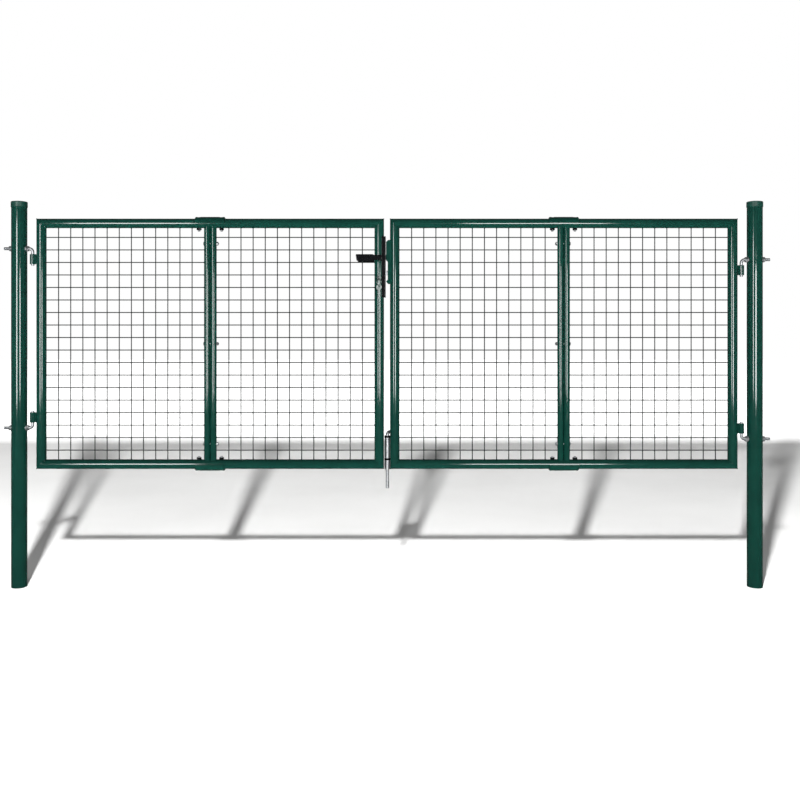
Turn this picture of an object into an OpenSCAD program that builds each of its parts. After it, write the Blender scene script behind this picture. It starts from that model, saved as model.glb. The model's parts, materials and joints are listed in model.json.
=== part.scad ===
/* [Posts] */
// Width over both posts
gate_w = 3000; // [2400:10:4000]
// Height of a post without its cap
post_h = 1534; // [1530:1:2000]
// Outside diameter of a post
post_d = 60; // [50:1:76]
// Wall of a post
post_wall = 2; // [1.5:0.5:3]
// Wall of a post cap
cap_wall = 1.6; // [1.2:0.1:2.4]
// How far a cap reaches down the post
cap_skirt = 18; // [12:1:30]
// Height of a cap's dome above the post
cap_dome = 6; // [4:0.5:12]

/* [Leaves] */
// Height of a leaf
leaf_h = 1000; // [820:10:1040]
// Height of a leaf's bottom edge above the posts' feet
leaf_z = 470; // [200:10:480]
// Diameter of the frame tube
tube_d = 38; // [32:1:48]
// Wall of the frame tube
tube_wall = 1.5; // [1.2:0.1:2.5]
// Diameter of the two tubes in the middle of a leaf
mid_d = 25; // [20:1:30]
// Wall of the middle tubes
mid_wall = 1.5; // [1.2:0.1:2]
// Gap between the leaves
mid_gap = 24; // [24:1:40]
// Gap between a post and its leaf
hinge_gap = 40; // [38:1:60]

/* [Mesh] */
// Diameter of a mesh wire
wire_d = 4; // [2:0.1:5]
// Pitch of the level wires
mesh_pitch = 50; // [40:1:75]
// Least width of a mesh opening between upright wires
mesh_w = 48; // [40:1:75]
// How deep the wires are welded into each other
weld_depth = 0.4; // [0.2:0.1:0.6]

/* [Hinges] */
// Diameter of a hook bolt
hook_d = 12; // [10:1:14]
// Distance from the post to the hinge axis
pin_off = 24; // [23:1:30]
// Distance from a barrel's middle to its hook bolt
hook_rise = 42; // [40:1:60]
// Inside radius of the hook's bend
bend_r = 14; // [12:1:14]
// How far a hook bolt stands out of the post
hook_out = 30; // [22:1:45]
// Outside diameter of a hinge barrel
barrel_d = 22; // [20:1:26]
// Height of a hinge barrel
barrel_h = 40; // [25:1:50]
// Radial clearance of the hinge pin
pin_fit = 0.08; // [0.02:0.01:0.1]
// Distance from the leaf's near edge to the first barrel
barrel_near = 162; // [120:1:200]
// Distance from the leaf's far edge to the second barrel
barrel_far = 206; // [120:1:250]

/* [Lock] */
// Distance from the leaf's top to the lock
lock_top = 72; // [60:1:120]
// Height of the lock
lock_h = 243; // [220:1:260]
// Width of the lock's front over the stile
lock_w = 34; // [30:1:36]
// Depth of the lock's front part
lock_depth = 16; // [15:1:17]
// How far the lock stands into the gap
lock_out = 7; // [5:0.5:8]
// Distance from the lock's top to the lever spindle
spindle_down = 87; // [70:1:100]
// Length of a lever from its spindle
lever_l = 95; // [80:1:120]
// Height of a lever's grip
lever_h = 26; // [18:1:28]
// Distance from the spindle to the key
key_down = 79; // [72:1:90]
// How far the latch bolt stands out
latch_out = 8; // [6:0.5:9]
// How far the dead bolt stands out
dead_out = 12; // [9:0.5:12]

/* [Drop bolt] */
// Diameter of the drop bolt
bolt_d = 14; // [10:1:14]
// Diameter of its lower end
bolt_tip_d = 12.5; // [8:0.5:13]
// How far the drop bolt reaches below the leaf
bolt_below = 82; // [60:1:150]
// Outside diameter of the guide tube
guide_d = 22; // [19:1:22]
// Length of the guide tube
guide_l = 134; // [110:1:200]

/* [Hidden] */
$fn = 48;

green = "#13483e";
zinc = "#b9bcbe";
black = "#17181c";
cut = 1;                    // how far a cutting shape runs past what it cuts
hole_gap = 0.2;             // radial gap of a bolt in its hole
seat_gap = 0.3;             // gap between pieces that move past each other
weld_gap = 0.05;            // gap at a shaped end that is welded to a round tube
sleeve_gap = 0.1;           // radial gap between a sleeve and its rail

// posts and hinges
post_x = gate_w / 2 - post_d / 2;
pin_x = gate_w / 2 - post_d - pin_off;
cap_gap = 0.1;
cap_d = post_d + 2 * (cap_wall + cap_gap);
cap_steps = 6;
nut_h = 8;
hook_nut_af = hook_d * 1.6;
washer_t = 1.5;
washer_d = hook_d * 2;
web_t = 8;
pin_past = 6;

// leaf, measured from the outer bottom corner of its hinge stile
leaf_edge = gate_w / 2 - post_d - hinge_gap;
leaf_w = leaf_edge - mid_gap / 2;
half_w = leaf_w / 2;
tube_r = tube_d / 2;
mid_r = mid_d / 2;
clear_h = leaf_h - 2 * tube_d;
clear_w = half_w - tube_d - mid_d;
edge_gap = 20;              // least gap between a rail and a level wire
level_n = floor((clear_h - 2 * edge_gap) / mesh_pitch) + 1;
level_start = tube_d + (clear_h - (level_n - 1) * mesh_pitch) / 2;
upright_n = floor(clear_w / mesh_w) - 1;
upright_pitch = clear_w / (upright_n + 1);
wire_off = wire_d / 2 - weld_depth / 2;

// clamps that hold the two halves of a leaf together
sleeve_l = 118;
sleeve_wall = 7;
sleeve_chamfer = 3;
sleeve_d = tube_d + 2 * sleeve_wall;
clamp_bolt_d = 10;
clamp_bolt_x = 45;
clamp_nut_af = 17;
bolt_end = 5;
head_h = 5;
head_sink = 2;
head_gap = 0.2;
stile_bolt_d = 8;
stile_nut_af = 13;
stile_nut_h = 6.5;
stile_head_h = 3;

// lock, measured in the whole gate
stile_x = mid_gap / 2 + tube_r;
front_x = -mid_gap / 2 + lock_out;
plate_t = 2;
case_back_x = front_x - lock_depth;
case_in_x = -stile_x - 12;
case_in_w = 22;
case_wall = 1.5;
case_end = 14;
lock_z = leaf_z + leaf_h - lock_top;
spindle_x = case_back_x - 6.5;
spindle_z = lock_z - spindle_down;
spindle_sq = 8;
spindle_hole_d = 12.4;
hub_d = 12;
lever_y = tube_r + 0.4;
neck_l = 30;
neck_d = 16;
collar_d = 22;
collar_l = 7;
grip_t = 12;
lever_end_y = lever_y + neck_l + grip_t;
key_x = -stile_x;
key_z = spindle_z - key_down;
euro_d = 17;
euro_w = 10;
euro_h = 33;
euro_gap = 0.2;
cylinder_l = 52;
plug_d = 13;
plug_fit = 0.08;
plug_past = 0.5;
keyway_w = 2.4;
keyway_h = 8.4;
key_t = 2.2;
blade_l = 23;
bow_d = 24;
bow_hole_d = 9;
bow_y = -(cylinder_l / 2 + plug_past + 6 + bow_d / 2);
bow_hole_y = bow_y - 5;
ring_r = 14;
ring_wire_d = 1.8;
ring_turn = 45;
ring_hang = bow_hole_d / 2 - ring_wire_d / 2 - 0.9;
ring_z = key_z - ring_hang - ring_r;
spare_hole_z = ring_z - ring_r - ring_hang;
spare_bow_d = 22;
spare_blade_l = 34;
latch_w = 10;
latch_h = 18;
latch_z = spindle_z + 5;
dead_h = 18;
dead_z = key_z + 21;
slot_gap = 0.3;
lock_screw_d = 4;
lock_screw_inset = 8;

// keeper on the other leaf
keeper_gap = 1.4;
keeper_x = front_x + keeper_gap;
keeper_top = lock_z - 14;
keeper_bottom = latch_z - 107;
keeper_w = 26;
keeper_t = 3;
keeper_notch = 6.4;
notch_top = latch_z - 12;
notch_bottom = keeper_bottom + 10;
keeper_corner = 8;
bolt_room = 0.6;

// drop bolt behind the gap, on the right leaf
drop_x = 1;
drop_y = tube_r + 5;
bolt_fit = 0.08;
guide_bottom = leaf_z - 4;
guide_top = guide_bottom + guide_l;
ring_h = 8;
bracket_d = guide_d + 2;
bracket_t = 6;
low_bracket_z = leaf_z + 32;
bolt_bend_r = 13;
bolt_grip_l = 32;
bolt_grip_turn = 45;
tip_chamfer = 2;

// ---------- shapes used more than once ----------

module tube(d, wall, h) {
    difference() {
        cylinder(d = d, h = h);
        translate([0, 0, -cut]) cylinder(d = d - 2 * wall, h = h + 2 * cut);
    }
}

module hex(af, h) {
    rotate([0, 0, 30]) cylinder(d = af / cos(30), h = h, $fn = 6);
}

module nut(af, bore, h) {
    difference() {
        hex(af, h);
        translate([0, 0, -cut]) cylinder(d = bore, h = h + 2 * cut);
    }
}

// an outline drawn in X and Z, as thick as w along Y
module side_cut(points, w) {
    rotate([90, 0, 0]) linear_extrude(height = w, center = true) polygon(points);
}

module along_x() {
    rotate([0, 90, 0]) children();
}

module along_y() {
    rotate([-90, 0, 0]) children();
}

// ---------- posts ----------

module post(side) {
    color(green)
    translate([side * post_x, 0, 0])
    difference() {
        tube(post_d, post_wall, post_h);
        for (z = hook_heights(side))
            translate([-post_d, 0, z]) along_x()
                cylinder(d = hook_d + 2 * hole_gap, h = 2 * post_d);
    }
}

module post_cap(side) {
    r = cap_d / 2;
    color(green)
    translate([side * post_x, 0, post_h])
    rotate_extrude() polygon([
        [0, 0], [post_d / 2 + cap_gap, 0], [post_d / 2 + cap_gap, -cap_skirt], [r, -cap_skirt],
        for (i = [0:cap_steps - 1]) [
            r * cos(90 * i / cap_steps),
            cap_dome * sin(90 * i / cap_steps)
        ],
        [0, cap_dome]
    ]);
}

// ---------- hook bolts, hinge pins and what holds them ----------

// heights of a leaf's barrels; the right leaf is the left one turned upside down
function upper_barrel(side) = leaf_z + leaf_h - (side < 0 ? barrel_near : barrel_far);
function lower_barrel(side) = leaf_z + (side < 0 ? barrel_far : barrel_near);
function hook_heights(side) = [upper_barrel(side) + hook_rise, lower_barrel(side) - hook_rise];

// up is 1 for a hook that enters its barrel from above, -1 from below
module flip(side, up) {
    mirror([side < 0 ? 1 : 0, 0, 0]) mirror([0, 0, up < 0 ? 1 : 0]) children();
}

module hook(side, barrel_z, up) {
    bend_x = pin_x + bend_r;
    pin_l = hook_rise - bend_r + barrel_h / 2 + pin_past;
    color(zinc)
    translate([0, 0, barrel_z + up * hook_rise]) flip(side, up) {
        translate([bend_x, 0, 0]) along_x()
            cylinder(d = hook_d, h = gate_w / 2 + hook_out - bend_x);
        translate([bend_x, 0, -bend_r]) rotate([90, 0, 0]) rotate([0, 0, 90])
            rotate_extrude(angle = 90) translate([bend_r, 0]) circle(d = hook_d);
        translate([pin_x, 0, -bend_r - pin_l]) cylinder(d = hook_d, h = pin_l);
    }
}

module hook_washer() {
    difference() {
        translate([post_d / 2 - 4, 0, 0]) along_x() cylinder(d = washer_d, h = 4 + washer_t);
        cylinder(d = post_d, h = 2 * washer_d, center = true);
        along_x() cylinder(d = hook_d, h = post_d);
    }
}

// one washer and one nut on each face of the post at every hook
module hinge_washers() {
    color(zinc)
    for (side = [-1, 1], z = hook_heights(side), face = [-1, 1])
        translate([side * post_x, 0, z]) mirror([face < 0 ? 1 : 0, 0, 0]) hook_washer();
}

module hinge_nuts() {
    color(zinc)
    for (side = [-1, 1], z = hook_heights(side), face = [-1, 1])
        translate([side * post_x, 0, z]) mirror([face < 0 ? 1 : 0, 0, 0])
            translate([post_d / 2 + washer_t, 0, 0]) along_x() nut(hook_nut_af, hook_d, nut_h);
}

// ---------- a leaf, drawn for the left side ----------

// turns a left leaf's own frame into the whole gate's
module on_leaf(side) {
    mirror([side > 0 ? 1 : 0, 0, 0]) translate([-leaf_edge, 0, leaf_z]) children();
}

// the inner half of a leaf is the outer half turned about its middle
module inner_half() {
    translate([2 * half_w, 0, 0]) mirror([1, 0, 0]) children();
}

module stile() {
    intersection() {
        translate([tube_r, 0, -cut]) tube(tube_d, tube_wall, leaf_h + 2 * cut);
        side_cut([
            [-cut, -cut], [-cut, leaf_h + cut],
            [tube_d + cut, leaf_h - tube_d - cut], [tube_d + cut, tube_d + cut]
        ], 2 * tube_d);
    }
}

module rail_holes() {
    for (x = [half_w - clamp_bolt_x, half_w + clamp_bolt_x])
        translate([x, 0, -tube_d]) cylinder(d = clamp_bolt_d + 2 * hole_gap, h = 3 * tube_d);
}

module bottom_rail() {
    difference() {
        intersection() {
            translate([-cut, 0, tube_r]) along_x() tube(tube_d, tube_wall, half_w + 2 * cut);
            side_cut([
                [-cut, -cut], [tube_d + cut, tube_d + cut],
                [half_w, tube_d + cut], [half_w, -cut]
            ], 2 * tube_d);
        }
        rail_holes();
    }
}

module top_rail() {
    translate([0, 0, leaf_h]) mirror([0, 0, 1]) bottom_rail();
}

// each bolt is midway between two level wires
function stile_bolt_heights() = [
    level_start + mesh_pitch / 2,
    level_start + (floor((level_n - 1) / 2) + 0.5) * mesh_pitch,
    leaf_h - level_start - mesh_pitch / 2
];

module mid_stile() {
    difference() {
        translate([half_w - mid_r, 0, tube_r]) tube(mid_d, mid_wall, leaf_h - tube_d);
        for (z = [tube_r, leaf_h - tube_r])
            translate([half_w / 2, 0, z]) along_x()
                cylinder(d = tube_d + 2 * weld_gap, h = half_w);
        for (z = stile_bolt_heights())
            translate([half_w - 2 * mid_d, 0, z]) along_x()
                cylinder(d = stile_bolt_d + 2 * hole_gap, h = 4 * mid_d);
    }
}

module mesh() {
    color(green) {
        for (i = [1:upright_n])
            translate([tube_d + i * upright_pitch, wire_off, tube_d])
                cylinder(d = wire_d, h = clear_h, $fn = 8);
        for (i = [0:level_n - 1])
            translate([tube_d, -wire_off, level_start + i * mesh_pitch]) along_x()
                cylinder(d = wire_d, h = clear_w, $fn = 8);
    }
}

// barrels welded to the hinge stile by a short web
module hinge_barrels(side) {
    color(green)
    for (z = [upper_barrel(side), lower_barrel(side)])
        mirror([side > 0 ? 1 : 0, 0, 0])
        translate([-pin_x, 0, z - barrel_h / 2])
        difference() {
            union() {
                cylinder(d = barrel_d, h = barrel_h);
                translate([0, -web_t / 2, 0]) cube([pin_x - leaf_edge + tube_r, web_t, barrel_h]);
            }
            translate([pin_x - leaf_edge + tube_r, 0, -cut])
                cylinder(d = tube_d + 2 * weld_gap, h = barrel_h + 2 * cut);
            translate([0, 0, -cut]) cylinder(r = hook_d / 2 + pin_fit, h = barrel_h + 2 * cut);
        }
}

module sleeve_ring() {
    rotate_extrude() polygon([
        [tube_r + sleeve_gap, 0], [sleeve_d / 2 - sleeve_chamfer, 0], [sleeve_d / 2, sleeve_chamfer],
        [sleeve_d / 2, sleeve_l - sleeve_chamfer], [sleeve_d / 2 - sleeve_chamfer, sleeve_l],
        [tube_r + sleeve_gap, sleeve_l]
    ]);
}

// a half shell on the outer side of the rail, with sunk holes for its bolts
module bottom_sleeve() {
    color(green)
    difference() {
        translate([half_w - sleeve_l / 2, 0, tube_r]) along_x() sleeve_ring();
        translate([0, -sleeve_d, tube_r]) cube([leaf_w, 2 * sleeve_d, sleeve_d]);
        rail_holes();
        for (x = [half_w - clamp_bolt_x, half_w + clamp_bolt_x]) translate([x, 0, head_z()]) {
            translate([0, 0, -sleeve_wall]) cylinder(d = 2 * (clamp_bolt_d + head_gap), h = sleeve_wall);
            cylinder(d1 = 2 * (clamp_bolt_d + head_gap), d2 = clamp_bolt_d + 2 * head_gap, h = head_h);
        }
    }
}

// height of the outer face of a clamp bolt's head, below the rail
function head_z() = head_sink - sleeve_wall;

module top_sleeve() {
    translate([0, 0, leaf_h]) mirror([0, 0, 1]) bottom_sleeve();
}

// both ends of the leaf, as seen from the bottom rail
module at_both_rails() {
    children();
    translate([0, 0, leaf_h]) mirror([0, 0, 1]) children();
}

module clamp_bolt() {
    translate([0, 0, head_z()]) {
        cylinder(d = clamp_bolt_d, h = tube_d - head_z() + nut_h + bolt_end);
        cylinder(d1 = 2 * clamp_bolt_d, d2 = clamp_bolt_d, h = head_h);
    }
}

module leaf_bolts(side) {
    color(zinc) on_leaf(side) {
        at_both_rails() for (x = [half_w - clamp_bolt_x, half_w + clamp_bolt_x])
            translate([x, 0, 0]) clamp_bolt();
        for (z = stile_bolt_heights()) translate([half_w - mid_d, 0, z]) along_x() {
            cylinder(d = stile_bolt_d, h = 2 * mid_d + stile_nut_h + bolt_end / 2);
            translate([0, 0, -stile_head_h])
                cylinder(d1 = stile_bolt_d, d2 = 2 * stile_bolt_d, h = stile_head_h);
        }
    }
}

module leaf_nuts(side) {
    color(zinc) on_leaf(side) {
        at_both_rails() for (x = [half_w - clamp_bolt_x, half_w + clamp_bolt_x])
            translate([x, 0, tube_d]) nut(clamp_nut_af, clamp_bolt_d, nut_h);
        for (z = stile_bolt_heights()) translate([half_w + mid_d, 0, z]) along_x()
            nut(stile_nut_af, stile_bolt_d, stile_nut_h);
    }
}

// ---------- lock on the left leaf ----------

// a box given by its low and high corners
module box(low, high) {
    translate(low) cube(high - low);
}

module euro_profile(gap) {
    circle(d = euro_d + 2 * gap);
    translate([-euro_w / 2 - gap, -euro_h + euro_d / 2 - gap])
        square([euro_w + 2 * gap, euro_h - euro_d / 2 + gap]);
}

// drawn along -Y, from the middle of the lock
module euro_body(gap, l) {
    translate([key_x, 0, key_z]) rotate([90, 0, 0])
        linear_extrude(height = l, center = true) euro_profile(gap);
}

module lock_holes() {
    translate([spindle_x, -tube_d, spindle_z]) along_y()
        cylinder(d = spindle_hole_d, h = 2 * tube_d);
    euro_body(euro_gap, 3 * tube_d);
}

module left_latch_stile() {
    color(green)
    difference() {
        on_leaf(-1) inner_half() stile();
        box([case_back_x, -tube_d, lock_z - lock_h], [0, tube_d, lock_z]);
        lock_holes();
    }
}

module lock_case() {
    w = case_wall;
    low = lock_z - lock_h;
    color(black)
    difference() {
        union() {
            box([case_in_x, -case_in_w / 2, low], [front_x - plate_t, case_in_w / 2, lock_z]);
            box([case_back_x, -lock_w / 2, low], [front_x - plate_t, lock_w / 2, lock_z]);
        }
        box([case_in_x + w, w - case_in_w / 2, low + case_end],
            [front_x, case_in_w / 2 - w, lock_z - case_end]);
        box([case_back_x + w, w - lock_w / 2, low + case_end],
            [front_x, lock_w / 2 - w, lock_z - case_end]);
        lock_holes();
        for (z = lock_screw_heights()) translate([case_back_x, 0, z]) along_x()
            cylinder(d = lock_screw_d, h = lock_depth);
    }
}

function lock_screw_heights() = [lock_z - lock_screw_inset, lock_z - lock_h + lock_screw_inset];

module lock_faceplate() {
    color(black)
    difference() {
        box([front_x - plate_t, -lock_w / 2, lock_z - lock_h], [front_x, lock_w / 2, lock_z]);
        slide_slot(latch_z, latch_h);
        slide_slot(dead_z, dead_h);
        for (z = lock_screw_heights()) translate([front_x - plate_t - cut, 0, z]) along_x()
            cylinder(d = 2 * lock_screw_d, h = plate_t + 2 * cut);
    }
}

module slide_slot(z, h) {
    box([front_x - 2 * plate_t, -latch_w / 2 - slot_gap, z - h / 2 - slot_gap],
        [front_x + cut, latch_w / 2 + slot_gap, z + h / 2 + slot_gap]);
}

module lock_screws() {
    color(zinc)
    for (z = lock_screw_heights()) translate([front_x - plate_t, 0, z]) along_x() {
        cylinder(d = 2 * lock_screw_d, h = plate_t);
        translate([0, 0, -lock_depth / 2]) cylinder(d = lock_screw_d, h = lock_depth / 2);
    }
}

// the latch bolt's nose is cut back on the side that meets the keeper first
module latch_bolt() {
    nose = front_x + latch_out;
    tail = case_back_x + latch_out + seat_gap;
    color(black)
    translate([0, 0, latch_z])
        linear_extrude(height = latch_h, center = true) polygon([
            [tail, -latch_w / 2], [nose - latch_out / 2, -latch_w / 2],
            [nose, 0], [nose, latch_w / 2], [tail, latch_w / 2]
        ]);
}

module dead_bolt() {
    color(zinc)
    box([case_in_x + case_wall + dead_out + seat_gap, -latch_w / 2, dead_z - dead_h / 2],
        [front_x + dead_out, latch_w / 2, dead_z + dead_h / 2]);
}

// a square bar with a round hub inside the lock
module spindle() {
    reach = lever_end_y - grip_t / 2;
    color(zinc)
    translate([spindle_x, 0, spindle_z]) {
        box([-spindle_sq / 2, -reach, -spindle_sq / 2], [spindle_sq / 2, reach, spindle_sq / 2]);
        along_y() cylinder(d = hub_d, h = case_in_w - 2 * case_wall - 2 * seat_gap, center = true);
    }
}

module lever(face) {
    r = lever_h / 2;
    reach = lever_end_y - grip_t / 2;
    color(black)
    translate([spindle_x, 0, spindle_z]) mirror([0, face > 0 ? 1 : 0, 0]) rotate([90, 0, 0])
    difference() {
        union() {
            translate([0, 0, lever_y]) cylinder(d = collar_d, h = collar_l);
            translate([0, 0, lever_y]) cylinder(d = neck_d, h = neck_l + cut);
            translate([0, 0, lever_y + neck_l]) linear_extrude(height = grip_t) {
                circle(r = r);
                translate([r - lever_l, 0]) circle(r = r);
                translate([r - lever_l, -r]) square([lever_l - r, 2 * r]);
            }
        }
        translate([-spindle_sq / 2, -spindle_sq / 2, 0]) cube([spindle_sq, spindle_sq, reach]);
    }
}

module lock_cylinder() {
    color(zinc)
    difference() {
        euro_body(0, cylinder_l);
        translate([key_x, -cylinder_l, key_z]) along_y()
            cylinder(r = plug_d / 2 + plug_fit, h = 2 * cylinder_l);
    }
}

module key_plug() {
    half = cylinder_l / 2 + plug_past;
    color(zinc)
    translate([key_x, 0, key_z])
    difference() {
        translate([0, -half, 0]) along_y() cylinder(d = plug_d, h = 2 * half);
        for (face = [-1, 1]) mirror([0, face > 0 ? 1 : 0, 0])
            box([-keyway_w / 2, -half - cut, -keyway_h / 2], [keyway_w / 2, blade_l - half, keyway_h / 2]);
    }
}

module key() {
    front = -cylinder_l / 2 - plug_past;
    blade_h = keyway_h - 2 * (keyway_w - key_t);
    color(zinc)
    translate([key_x, 0, key_z])
    difference() {
        union() {
            box([-key_t / 2, bow_y, -blade_h / 2], [key_t / 2, front + blade_l - seat_gap, blade_h / 2]);
            translate([-key_t / 2, bow_y, 0]) along_x() cylinder(d = bow_d, h = key_t);
        }
        translate([-key_t, bow_hole_y, 0]) along_x() cylinder(d = bow_hole_d, h = 2 * key_t);
    }
}

module key_ring() {
    color(zinc)
    translate([key_x, bow_hole_y, ring_z]) rotate([90, 0, ring_turn])
        rotate_extrude() translate([ring_r, 0]) circle(d = ring_wire_d);
}

module spare_key() {
    r = spare_bow_d / 2;
    bow_z = spare_hole_z - r + bow_hole_d / 2 + key_t;
    color(zinc)
    translate([key_x, bow_hole_y, 0])
    difference() {
        union() {
            translate([0, -key_t / 2, bow_z]) along_y() cylinder(r = r, h = key_t);
            box([-keyway_h / 2, -key_t / 2, bow_z - r - spare_blade_l],
                [keyway_h / 2, key_t / 2, bow_z]);
        }
        translate([0, -key_t, spare_hole_z]) along_y() cylinder(d = bow_hole_d, h = 2 * key_t);
    }
}

// ---------- keeper on the right leaf ----------

module keeper_outline() {
    c = keeper_corner;
    polygon([
        [stile_x, keeper_top], [keeper_x + c, keeper_top], [keeper_x, keeper_top - c],
        [keeper_x, notch_top], [keeper_x + keeper_notch, notch_top - keeper_notch],
        [keeper_x + keeper_notch, notch_bottom + keeper_notch], [keeper_x, notch_bottom],
        [keeper_x + c, keeper_bottom], [stile_x, keeper_bottom]
    ]);
}

module keeper() {
    color(green)
    difference() {
        rotate([90, 0, 0]) linear_extrude(height = keeper_w, center = true) keeper_outline();
        rotate([90, 0, 0]) linear_extrude(height = keeper_w - 2 * keeper_t, center = true)
            translate([keeper_t, 0]) keeper_outline();
        translate([stile_x, 0, leaf_z]) cylinder(d = tube_d + 2 * weld_gap, h = leaf_h);
        bolt_hole(latch_z, latch_h);
        bolt_hole(dead_z, dead_h);
    }
}

module bolt_hole(z, h) {
    box([keeper_x - cut, -latch_w / 2 - bolt_room, z - h / 2 - bolt_room],
        [stile_x - tube_r - cut, latch_w / 2 + bolt_room, z + h / 2 + bolt_room]);
}

// ---------- drop bolt on the right leaf ----------

module bolt_guide() {
    color(zinc)
    translate([drop_x, drop_y, guide_bottom])
    difference() {
        cylinder(d = guide_d, h = guide_l);
        translate([0, 0, -cut]) cylinder(r = bolt_d / 2 + bolt_fit, h = guide_l + 2 * cut);
    }
}

// a ring round the guide and an arm from it to the stile
module bolt_brackets() {
    reach = norm([stile_x - drop_x, drop_y]);
    color(black)
    for (z = [low_bracket_z, guide_top - ring_h])
        translate([drop_x, drop_y, z])
        difference() {
            union() {
                cylinder(d = bracket_d, h = ring_h);
                rotate([0, 0, atan2(-drop_y, stile_x - drop_x)])
                    translate([0, -bracket_t / 2, 0]) cube([reach, bracket_t, ring_h]);
            }
            translate([0, 0, -cut]) cylinder(d = guide_d, h = ring_h + 2 * cut);
            translate([stile_x - drop_x, -drop_y, -cut])
                cylinder(d = tube_d + 2 * weld_gap, h = ring_h + 2 * cut);
        }
}

// a stepped rod whose top is bent over for the hand
module drop_bolt() {
    tip_z = leaf_z - bolt_below;
    step_z = guide_bottom - 4;
    bend_z = guide_top + 1;
    color(zinc)
    translate([drop_x, drop_y, 0]) rotate([0, 0, bolt_grip_turn]) {
        rotate_extrude() polygon([
            [0, tip_z], [bolt_tip_d / 2 - tip_chamfer, tip_z], [bolt_tip_d / 2, tip_z + tip_chamfer],
            [bolt_tip_d / 2, step_z], [bolt_d / 2, step_z], [bolt_d / 2, bend_z], [0, bend_z]
        ]);
        translate([bolt_bend_r, 0, bend_z]) rotate([90, 0, 0]) rotate([0, 0, 90])
            rotate_extrude(angle = 90) translate([bolt_bend_r, 0]) circle(d = bolt_d);
        translate([bolt_bend_r, 0, bend_z + bolt_bend_r]) along_x()
            cylinder(d = bolt_d, h = bolt_grip_l);
    }
}

// ---------- what is drawn ----------

post(-1);  // left_post
post(1);  // right_post
post_cap(-1);  // left_post_cap
post_cap(1);  // right_post_cap
hook(-1, upper_barrel(-1), 1);  // upper_left_hook
hook(-1, lower_barrel(-1), -1);  // lower_left_hook
hook(1, upper_barrel(1), 1);  // upper_right_hook
hook(1, lower_barrel(1), -1);  // lower_right_hook
hinge_nuts();
hinge_washers();
color(green) on_leaf(-1) stile();  // left_hinge_stile
left_latch_stile();
color(green) on_leaf(-1) top_rail();  // left_outer_top_rail
color(green) on_leaf(-1) inner_half() top_rail();  // left_inner_top_rail
color(green) on_leaf(-1) bottom_rail();  // left_outer_bottom_rail
color(green) on_leaf(-1) inner_half() bottom_rail();  // left_inner_bottom_rail
color(green) on_leaf(-1) mid_stile();  // left_outer_mid_stile
color(green) on_leaf(-1) inner_half() mid_stile();  // left_inner_mid_stile
on_leaf(-1) mesh();  // left_outer_mesh
on_leaf(-1) inner_half() mesh();  // left_inner_mesh
hinge_barrels(-1);  // left_hinge_barrels
on_leaf(-1) top_sleeve();  // left_top_sleeve
on_leaf(-1) bottom_sleeve();  // left_bottom_sleeve
leaf_bolts(-1);  // left_leaf_bolts
leaf_nuts(-1);  // left_leaf_nuts
color(green) on_leaf(1) stile();  // right_hinge_stile
color(green) on_leaf(1) inner_half() stile();  // right_latch_stile
color(green) on_leaf(1) top_rail();  // right_outer_top_rail
color(green) on_leaf(1) inner_half() top_rail();  // right_inner_top_rail
color(green) on_leaf(1) bottom_rail();  // right_outer_bottom_rail
color(green) on_leaf(1) inner_half() bottom_rail();  // right_inner_bottom_rail
color(green) on_leaf(1) mid_stile();  // right_outer_mid_stile
color(green) on_leaf(1) inner_half() mid_stile();  // right_inner_mid_stile
on_leaf(1) mesh();  // right_outer_mesh
on_leaf(1) inner_half() mesh();  // right_inner_mesh
hinge_barrels(1);  // right_hinge_barrels
on_leaf(1) top_sleeve();  // right_top_sleeve
on_leaf(1) bottom_sleeve();  // right_bottom_sleeve
leaf_bolts(1);  // right_leaf_bolts
leaf_nuts(1);  // right_leaf_nuts
lock_case();
lock_faceplate();
lock_screws();
lock_cylinder();
latch_bolt();
dead_bolt();
spindle();
lever(-1);  // front_lever
lever(1);  // rear_lever
key_plug();
key();
key_ring();
spare_key();
keeper();
bolt_guide();
bolt_brackets();
drop_bolt();
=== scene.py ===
import json
import math
import random

import bmesh
import bpy
from mathutils import Matrix, Vector


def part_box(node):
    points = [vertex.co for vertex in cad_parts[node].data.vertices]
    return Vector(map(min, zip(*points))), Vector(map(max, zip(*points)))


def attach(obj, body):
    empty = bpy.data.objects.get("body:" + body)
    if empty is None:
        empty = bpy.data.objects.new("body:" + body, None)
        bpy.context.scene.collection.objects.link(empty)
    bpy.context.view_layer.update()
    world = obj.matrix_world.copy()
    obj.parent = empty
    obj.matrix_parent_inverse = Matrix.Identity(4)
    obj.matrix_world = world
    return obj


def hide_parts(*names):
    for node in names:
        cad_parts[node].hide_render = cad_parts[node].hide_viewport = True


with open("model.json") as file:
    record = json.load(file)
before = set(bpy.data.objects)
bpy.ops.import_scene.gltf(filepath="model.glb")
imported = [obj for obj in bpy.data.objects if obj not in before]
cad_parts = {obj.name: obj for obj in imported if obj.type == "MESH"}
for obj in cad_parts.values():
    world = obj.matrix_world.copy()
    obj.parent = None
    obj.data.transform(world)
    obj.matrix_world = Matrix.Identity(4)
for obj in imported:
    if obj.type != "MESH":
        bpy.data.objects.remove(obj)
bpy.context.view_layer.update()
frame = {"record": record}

# A wide mesh gate: paired leaves of green tube between round posts

mm = 0.001
bodyOf = {
    node: body
    for body, nodes in frame["record"]["behaviour"]["bodies"].items()
    for node in nodes
}


# where things are, in metres, read from the frame
def low(node):
    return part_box(node)[0]


def high(node):
    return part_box(node)[1]


def middle(node):
    return (low(node) + high(node)) / 2


def size(node):
    return high(node) - low(node)


def addObject(name, data):
    thing = bpy.data.objects.new(name, data)
    bpy.context.scene.collection.objects.link(thing)
    return thing


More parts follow.
